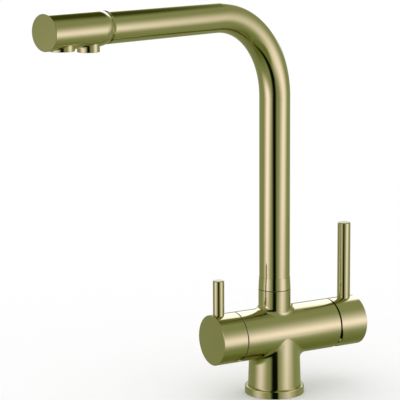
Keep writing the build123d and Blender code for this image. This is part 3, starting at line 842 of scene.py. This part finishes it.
@dataclass
class Spout(SubAssembly):
    """Swivelling spout with its head and two outlets.

    Attributes:
        swing_deg: Angle from the barrel's axis to the arm, at rest.
        arm_height: Height of the arm's axis.
        tube_end: Distance from the neck's axis to the end of the tube.
        tube_radius: Radius of the tube.
        spigot_radius: Radius of the head's spigot in the tube.
        flank_length: Length of the groove's sloping flank.
        flank_drop: How much the flank drops over that length.
    """

    body: str = "spout"
    finishes: dict[Finish, tuple[str, ...]] = field(default_factory=lambda: {
        PLATED_BRASS: (
            "spout_collar",
            "spout_tube",
            "spout_head",
            "filter_outlet_ring",
            "mixer_outlet_ring",
        ),
        TURNED_BRASS: ("spout_pivot", "filter_pipe"),
        SEAL_RUBBER: ("spout_seals", "filter_outlet_washer", "mixer_outlet_washer"),
        MOULDED_ACETAL: ("filter_outlet_insert", "mixer_outlet_insert"),
    })
    swing_deg: float = 14.8
    arm_height: float = 351.8 * MM
    tube_end: float = 205.5 * MM
    tube_radius: float = 14.0 * MM
    spigot_radius: float = 11.6 * MM
    flank_length: float = 1.6 * MM
    flank_drop: float = 0.75 * MM

    def build(self) -> list[bpy.types.Object]:
        """Build the flank of the groove behind the head and the honeycombs in the two outlets.

        Returns:
            The new pieces.
        """
        pieces = [self.carry(self._groove_flank(), "polished_brass")]
        for outlet in ("filter_outlet", "mixer_outlet"):
            comb = Honeycomb(f"{outlet}_comb", f"{outlet}_insert", f"{outlet}_ring")
            pieces.append(self.carry(comb.build(MOULDED_ACETAL), "moulded_plastic"))
        return pieces

    def _groove_flank(self) -> bpy.types.Object:
        """Build the sloping ring on the tube's end that makes the groove a V.

        Returns:
            The new piece.
        """
        turn = radians(self.swing_deg)
        arm = Axis(Vector((0, 0, self.arm_height)), Vector((-cos(turn), -sin(turn), 0)))
        foot = self.tube_end + self.flank_length
        rings = (
            Ring(self.tube_end, self.spigot_radius),
            Ring(self.tube_end, self.tube_radius),
            Ring(foot, self.tube_radius - self.flank_drop),
            Ring(foot, self.spigot_radius),
        )
        return turned_piece(
            "spout_groove_flank", arm, rings, PLATED_BRASS, MIDDLE_ROUND, hollow=True
        )


@dataclass
class Handle(SubAssembly):
    """A turning cap with its rod, and the grub screw under the cap.

    Attributes:
        screw_node: CAD node of the grub screw.
        screw_radius: Radius of the screw.
        key_width: Width across flats of its socket.
        socket_share: Depth of its socket, in key widths.
    """

    screw_node: str = ""
    screw_radius: float = 2.0 * MM
    key_width: float = 2.0 * MM
    socket_share: float = 1.2

    def build(self) -> list[bpy.types.Object]:
        """Build the grub screw that holds the cap on its spindle.

        Returns:
            The new piece in a list.
        """
        low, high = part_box(self.screw_node)
        screw = SocketScrew(
            self.screw_node,
            out=Vector((0, 0, -1)),
            radius=self.screw_radius,
            length=high.z - low.z,
            key_width=self.key_width,
            socket_depth=self.socket_share * self.key_width,
        )
        return [self.carry(screw.build(HEADED_STEEL), "steel")]


@dataclass
class FilterHandle(Handle):
    """The short left handle, which turns the filter valve's spindle and its moving disc."""

    body: str = "filter_handle"
    finishes: dict[Finish, tuple[str, ...]] = field(default_factory=lambda: {
        PLATED_BRASS: ("filter_handle_cap", "filter_lever_rod"),
        TURNED_BRASS: ("filter_spindle",),
        SEAL_RUBBER: ("filter_spindle_seal",),
        FIRED_ALUMINA: ("filter_moving_disc",),
        HEADED_STEEL: ("filter_cap_screw",),
    })
    screw_node: str = "filter_cap_screw"


@dataclass
class MixerHandle(Handle):
    """The long right handle, whose cap has a thin skirt that closes most of the split.

    Attributes:
        relief: How much further back the cap's rim lies at its lowest point than at its axis.
        skirt_reach: How far the skirt stands out of the rim.
        skirt_walls: Its wall at the rim and at its edge; it clears the barrel at any tilt.
    """

    body: str = "mixer_handle"
    finishes: dict[Finish, tuple[str, ...]] = field(default_factory=lambda: {
        PLATED_BRASS: ("mixer_handle_cap", "mixer_lever_rod"),
        TURNED_BRASS: ("mixer_spindle",),
        HEADED_STEEL: ("mixer_cap_screw",),
    })
    screw_node: str = "mixer_cap_screw"
    screw_radius: float = 2.5 * MM
    key_width: float = 2.5 * MM
    relief: float = 4.8 * MM
    skirt_reach: float = 0.9 * MM
    skirt_walls: tuple[float, float] = (0.8 * MM, 0.3 * MM)

    def build(self) -> list[bpy.types.Object]:
        """Build the grub screw and the skirt.

        Returns:
            The new pieces.
        """
        return [*super().build(), self.carry(self._skirt(), "polished_brass")]

    def _skirt(self) -> bpy.types.Object:
        """Build the skirt, which follows the slant of the cap's lower rim.

        Returns:
            The new piece.
        """
        low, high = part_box("mixer_handle_cap")
        radius = (high.z - low.z) / 2
        axis = Axis(Vector((0, 0, (high.z + low.z) / 2)), Vector((1, 0, 0)))
        root_wall, edge_wall = self.skirt_walls
        edge = low.x - self.skirt_reach
        section = (
            (edge, radius),
            (low.x, radius),
            (low.x, radius - root_wall),
            (edge, radius - edge_wall),
        )
        turns = [2 * pi * step / LARGE_ROUND for step in range(LARGE_ROUND)]
        rows = []
        for station, reach in section:
            row = [axis.point(station, reach, turn) for turn in turns]
            for point in row:
                point.x += self.relief * max(0.0, axis.origin.z - point.z) / radius
            rows.append(row)
        return skinned_piece("mixer_cap_skirt", rows, PLATED_BRASS, hollow=True)


@dataclass
class MixerTurret(SubAssembly):
    """The cartridge's turning turret, and the pin in it that the mixer handle tilts on."""

    body: str = "mixer_turret"
    finishes: dict[Finish, tuple[str, ...]] = field(default_factory=lambda: {
        MOULDED_ACETAL: ("cartridge_turret",),
        HEADED_STEEL: ("spindle_pivot_pin",),
    })


@dataclass
class MixerDisc(SubAssembly):
    """The cartridge's moving disc and its carrier, which slide when the handle tilts."""

    body: str = "mixer_disc"
    finishes: dict[Finish, tuple[str, ...]] = field(default_factory=lambda: {
        FIRED_ALUMINA: ("mixer_moving_disc",),
        MOULDED_ACETAL: ("mixer_disc_carrier",),
    })


@dataclass
class PhotoCamera:
    """Camera at the photograph's place, worked out from the tap's outlines there.

    Attributes:
        distance: Level distance from the neck's axis, along the view.
        height: Height over the floor.
        azimuth_deg: Turn of the view from the y axis towards the x axis.
        aside: Distance from the neck's axis to the left, across the view.
        pitch_deg: How far the view looks down.
        roll_deg: Turn of the camera round its own view.
        focal_mm: Focal length on the default sensor.
        clip_end: Distance of the farthest thing that the camera shows.
    """

    distance: float = 1.7368
    height: float = 0.4999
    azimuth_deg: float = 30.31
    aside: float = 0.0679
    pitch_deg: float = 10.42
    roll_deg: float = -0.34
    focal_mm: float = 174.63
    clip_end: float = 50.0

    @property
    def forward(self) -> Vector:
        """Return the level direction of view."""
        turn = radians(self.azimuth_deg)
        return Vector((sin(turn), cos(turn), 0))

    @property
    def right(self) -> Vector:
        """Return the level direction to the picture's right."""
        turn = radians(self.azimuth_deg)
        return Vector((cos(turn), -sin(turn), 0))

    def build(self) -> None:
        """Make the camera and hand it to the scene."""
        data = bpy.data.cameras.new("photo_camera")
        data.lens = self.focal_mm
        data.clip_end = self.clip_end
        camera = bpy.data.objects.new("photo_camera", data)
        bpy.context.scene.collection.objects.link(camera)
        level = -self.forward * self.distance - self.right * self.aside
        camera.location = level + Vector((0, 0, self.height))
        drop = Vector((0, 0, -tan(radians(self.pitch_deg))))
        upright = (self.forward + drop).to_track_quat("-Z", "Y")
        roll = Quaternion((0, 0, 1), radians(self.roll_deg))
        camera.rotation_euler = (upright @ roll).to_euler()
        bpy.context.scene.camera = camera


@dataclass
class Card:
    """A studio card that only the metal's reflections see, with edges that fade out softly.

    It is curved round the tap and placed by angles seen from there: across counts from the camera
    to its right, up counts from the level.

    Attributes:
        name: Card's name.
        glow: Linear colour of the light that it sends out.
        across_deg: Left and right ends, where the cover is gone.
        up_deg: Lower and upper edges, where the cover is gone.
        fade_deg: Widths of the fade along the upright and the level edges.
        lean: Degrees that the card leans across for each degree up.
        steps: Faces across the card and up it.
    """

    name: str
    glow: tuple[float, float, float]
    across_deg: tuple[float, float]
    up_deg: tuple[float, float]
    fade_deg: tuple[float, float]
    lean: float = 0.0
    steps: int = 40

    def place(self, camera: PhotoCamera, across: float, up: float) -> Vector:
        """Work out the direction from the tap at an angle across and an angle up, in degrees.

        Args:
            camera: Camera that the angle across counts from.
            across: Angle to the camera's right.
            up: Angle over the level; one past straight up or down counts as straight.

        Returns:
            A direction of length 1.
        """
        up = min(90.0, max(-90.0, up))
        turn, rise = radians(across + self.lean * up), radians(up)
        level = camera.right * sin(turn) - camera.forward * cos(turn)
        return level * cos(rise) + Vector((0, 0, sin(rise)))

    def build(self, camera: PhotoCamera, middle: Vector, radius: float) -> bpy.types.Object:
        """Build the card as a grid of small faces, each corner with its share of cover.

        Args:
            camera: Camera that the angles across count from.
            middle: Middle of the tap, which the card is set round.
            radius: Distance of the card from there.

        Returns:
            The new stage piece.
        """
        across_fade, up_fade = self.fade_deg
        points, cover = [], []
        for column in range(self.steps + 1):
            for row in range(self.steps + 1):
                across = span_point(self.across_deg, column / self.steps)
                up = span_point(self.up_deg, row / self.steps)
                points.append(middle + radius * self.place(camera, across, up))
                across_cover = soft_edge(across, self.across_deg, across_fade)
                cover.append(across_cover * soft_edge(up, self.up_deg, up_fade))
        faces = []
        for column in range(self.steps):
            for row in range(self.steps):
                corner = column * (self.steps + 1) + row
                beside = corner + self.steps + 1
                faces.append((corner, corner + 1, beside + 1, beside))
        mesh = bpy.data.meshes.new(self.name)
        mesh.from_pydata([tuple(point) for point in points], [], faces)
        mesh.attributes.new("cover", "FLOAT", "POINT").data.foreach_set("value", cover)
        mesh.materials.append(self._material())
        card = bpy.data.objects.new(self.name, mesh)
        bpy.context.scene.collection.objects.link(card)
        for sight in ("visible_camera", "visible_diffuse", "visible_shadow"):
            setattr(card, sight, False)
        return card

    def _material(self) -> bpy.types.Material:
        """Build the card's even glow, clear where its cover fades.

        Returns:
            The new material.
        """
        made = bpy.data.materials.new(f"{self.name}_glow")
        made.use_nodes = True
        tree = made.node_tree
        tree.nodes.clear()
        cover = add_node(tree, "ShaderNodeAttribute", {"attribute_name": "cover"})
        clear = add_node(tree, "ShaderNodeBsdfTransparent")
        glow = {"Color": (*self.glow, 1.0), "Strength": 1.0}
        light = add_node(tree, "ShaderNodeEmission", glow)
        mixed = add_node(
            tree,
            "ShaderNodeMixShader",
            links={
                "Fac": cover.outputs["Fac"],
                1: clear.outputs["BSDF"],
                2: light.outputs["Emission"],
            },
        )
        add_node(tree, "ShaderNodeOutputMaterial", links={"Surface": mixed.outputs["Shader"]})
        return made


# What the metal mirrors, from the outermost card to the nearest: an olive tent with a darker foot,
# light boxes on both sides and behind with shades below them, a dark ceiling at the back, and the
# dark stand that holds the camera
TENT = (
    Card(
        "tent_wall",
        glow=(0.336, 0.384, 0.223),
        across_deg=(-180, 180),
        up_deg=(-90, 90),
        fade_deg=(0, 0),
    ),
    Card(
        "tent_foot",
        glow=(0.135, 0.169, 0.037),
        across_deg=(-180, 180),
        up_deg=(-150, -26.8),
        fade_deg=(0, 48.9),
    ),
    Card(
        "shade_left",
        glow=(0.263, 0.294, 0.166),
        across_deg=(-205.1, -88.9),
        up_deg=(-104.5, 3.2),
        fade_deg=(17.4, 60),
    ),
    Card(
        "light_box_left",
        glow=(2.08, 1.83, 2.53),
        across_deg=(-91.6, -14.9),
        up_deg=(-40.8, 28.5),
        fade_deg=(50.4, 33.8),
        lean=0.516,
    ),
    Card(
        "light_box_right",
        glow=(1.63, 1.49, 1.9),
        across_deg=(26.8, 112.2),
        up_deg=(-57.8, 43.6),
        fade_deg=(45, 57.9),
        lean=0.579,
    ),
    Card(
        "shade_right",
        glow=(0.246, 0.31, 0.123),
        across_deg=(44.8, 92.7),
        up_deg=(-116.2, -1.9),
        fade_deg=(29.1, 58.8),
    ),
    Card(
        "dark_ceiling",
        glow=(0.056, 0.071, 0.01),
        across_deg=(83.1, 256),
        up_deg=(49.4, 95.1),
        fade_deg=(50, 11.7),
    ),
    Card(
        "light_box_back_foot",
        glow=(0.72, 0.7, 0.64),
        across_deg=(158, 202),
        up_deg=(-4, 18),
        fade_deg=(14, 6),
    ),
    Card(
        "light_box_back",
        glow=(1.75, 1.8, 2.5),
        across_deg=(139.1, 216.3),
        up_deg=(6.9, 53.8),
        fade_deg=(17.9, 6),
    ),
    Card(
        "shade_low",
        glow=(0.2, 0.24, 0.08),
        across_deg=(2, 66),
        up_deg=(-80, -22),
        fade_deg=(18, 16),
    ),
    Card(
        "dark_stand",
        glow=(0.004, 0.006, 0.002),
        across_deg=(-26.3, 16.5),
        up_deg=(-115, 107),
        fade_deg=(15.9, 50),
        lean=-0.125,
    ),
    Card(
        "dark_stand_foot",
        glow=(0.004, 0.006, 0.002),
        across_deg=(-9, 15.5),
        up_deg=(-60, -15),
        fade_deg=(7, 6),
    ),
)


@dataclass
class Studio:
    """Pale floor, a tent with light boxes that the metal reflects, and a white surround.

    Attributes:
        tent_radius: Distance from the tap's middle to the outermost card.
        card_step: How much nearer each further card hangs.
        floor_radius: Radius of the round floor.
        floor_steps: Corners of the floor's rim.
        floor_drop: Gap under the foot, so that the two faces don't meet.
    """

    tent_radius: float = 1.0
    card_step: float = 0.004
    floor_radius: float = 12.0
    floor_steps: int = 64
    floor_drop: float = 0.2 * MM

    def build(self, camera: PhotoCamera) -> None:
        """Build the tent's cards, the floor and the surround.

        Args:
            camera: Camera that the cards' angles count from.
        """
        low, high = cad_box
        middle = Vector((0, 0, (low.z + high.z) / 2))
        for number, card in enumerate(TENT):
            card.build(camera, middle, self.tent_radius - number * self.card_step)
            log.info("%s: stage", card.name)
        self._floor()
        self._surround()

    def _floor(self) -> None:
        """Lay a round pale floor that takes the tap's shadow."""
        points = []
        for step in range(self.floor_steps):
            turn = 2 * pi * step / self.floor_steps
            points.append((self.floor_radius * cos(turn), self.floor_radius * sin(turn), 0))
        mesh = bpy.data.meshes.new("floor")
        mesh.from_pydata(points, [], [list(range(self.floor_steps))])
        board = bpy.data.materials.new("matt_pale_board")
        board.use_nodes = True
        tree = board.node_tree
        tree.nodes.clear()
        matt = add_node(tree, "ShaderNodeBsdfDiffuse", {"Color": linear("#FFFFFF")})
        add_node(tree, "ShaderNodeOutputMaterial", links={"Surface": matt.outputs["BSDF"]})
        mesh.materials.append(board)
        floor = bpy.data.objects.new("floor", mesh)
        floor.location.z = cad_box[0].z - self.floor_drop
        floor.visible_glossy = False
        bpy.context.scene.collection.objects.link(floor)

    def _surround(self) -> None:
        """Fill the world with even white light."""
        world = bpy.data.worlds.new("white_surround")
        world.use_nodes = True
        tree = world.node_tree
        tree.nodes.clear()
        even = {"Color": linear("#FFFFFF"), "Strength": 1.0}
        white = add_node(tree, "ShaderNodeBackground", even)
        add_node(tree, "ShaderNodeOutputWorld", links={"Surface": white.outputs["Background"]})
        bpy.context.scene.world = world


def main() -> None:
    """Dress and build the tap, then the camera and the studio."""
    logging.basicConfig(level=logging.INFO, format="%(name)s: %(message)s")
    assemblies: tuple[SubAssembly, ...] = (
        FixedBody(),
        Spout(),
        FilterHandle(),
        MixerHandle(),
        MixerTurret(),
        MixerDisc(),
    )
    for assembly in assemblies:
        assembly.dress()
        assembly.build()
    camera = PhotoCamera()
    camera.build()
    Studio().build(camera)
    bpy.context.scene.view_settings.view_transform = "Standard"


if __name__ == "__main__":
    main()
